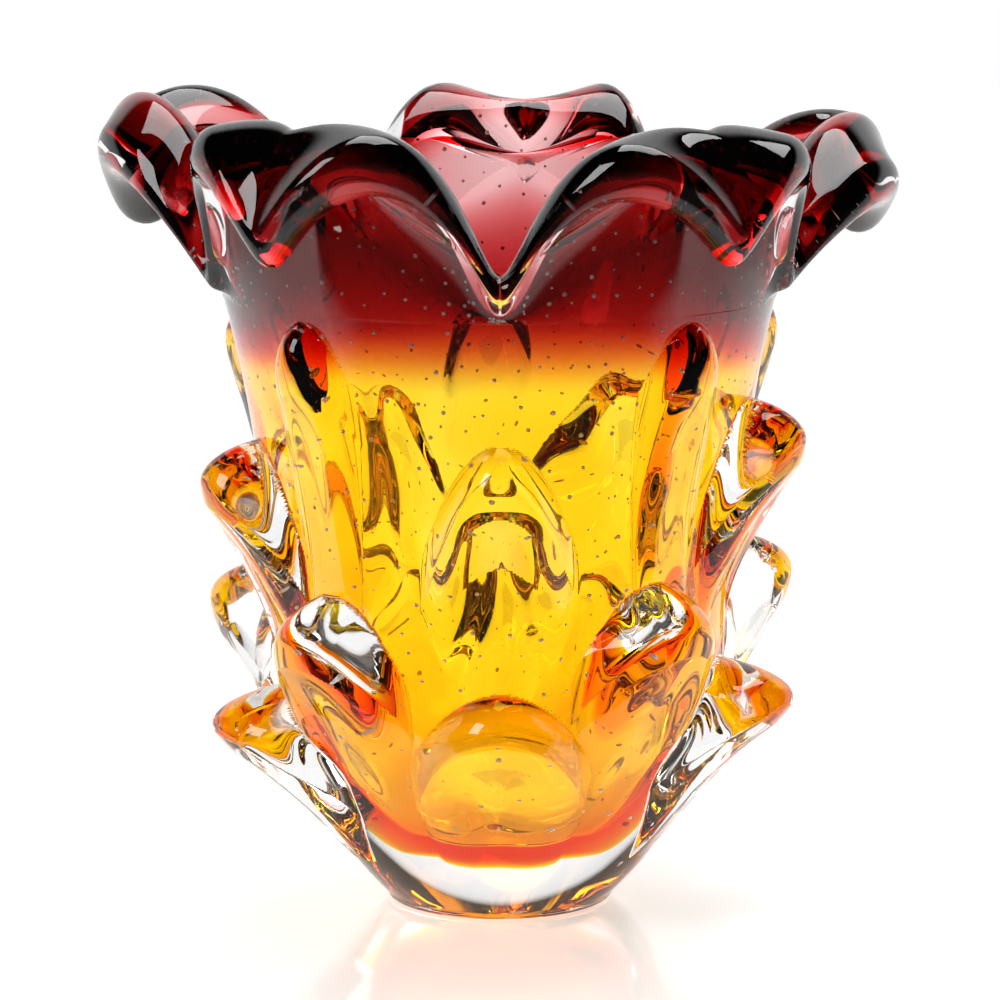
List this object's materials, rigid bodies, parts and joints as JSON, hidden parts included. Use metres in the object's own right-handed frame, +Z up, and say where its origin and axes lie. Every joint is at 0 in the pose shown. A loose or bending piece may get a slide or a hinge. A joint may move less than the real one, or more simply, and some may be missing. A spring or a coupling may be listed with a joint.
{
  "type": "vase",
  "caption": "Heavy cased-glass vase with a folded, lobed ruby lip, an amber body and tiers of pulled clear leaves on a solid clear foot.",
  "frame": {"origin": "centre of the polished flat under the foot", "axes": "+Z up along the body's axis; -Y faces the valley between lip lobes 5 and 1; +X to its right"},
  "size_m": [0.2302, 0.2123, 0.2318],
  "materials": {
    "clear_glass": "fire-polished clear glass",
    "amber_glass": "transparent amber glass, cased in clear",
    "ruby_glass": "deep transparent ruby glass, fire-polished"
  },
  "bodies": {
    "root": {"foot": "clear_glass", "clear_casing": "clear_glass", "amber_cup": "amber_glass", "ruby_band": "ruby_glass", "lip_lobe_1": "ruby_glass", "lip_lobe_2": "ruby_glass", "lip_lobe_3": "ruby_glass", "lip_lobe_4": "ruby_glass", "lip_lobe_5": "ruby_glass", "leaf_a1": "clear_glass", "leaf_a2": "clear_glass", "leaf_a3": "clear_glass", "leaf_a4": "clear_glass", "leaf_a5": "clear_glass", "leaf_b1": "clear_glass", "leaf_b2": "clear_glass", "leaf_b3": "clear_glass", "leaf_b4": "clear_glass", "leaf_b5": "clear_glass", "leaf_c1": "clear_glass", "leaf_c2": "clear_glass", "leaf_c3": "clear_glass", "leaf_c4": "clear_glass", "leaf_c5": "clear_glass", "leaf_d1": "clear_glass", "leaf_d2": "clear_glass", "leaf_d3": "clear_glass", "leaf_d4": "clear_glass", "leaf_d5": "clear_glass"}
  },
  "joints": []
}
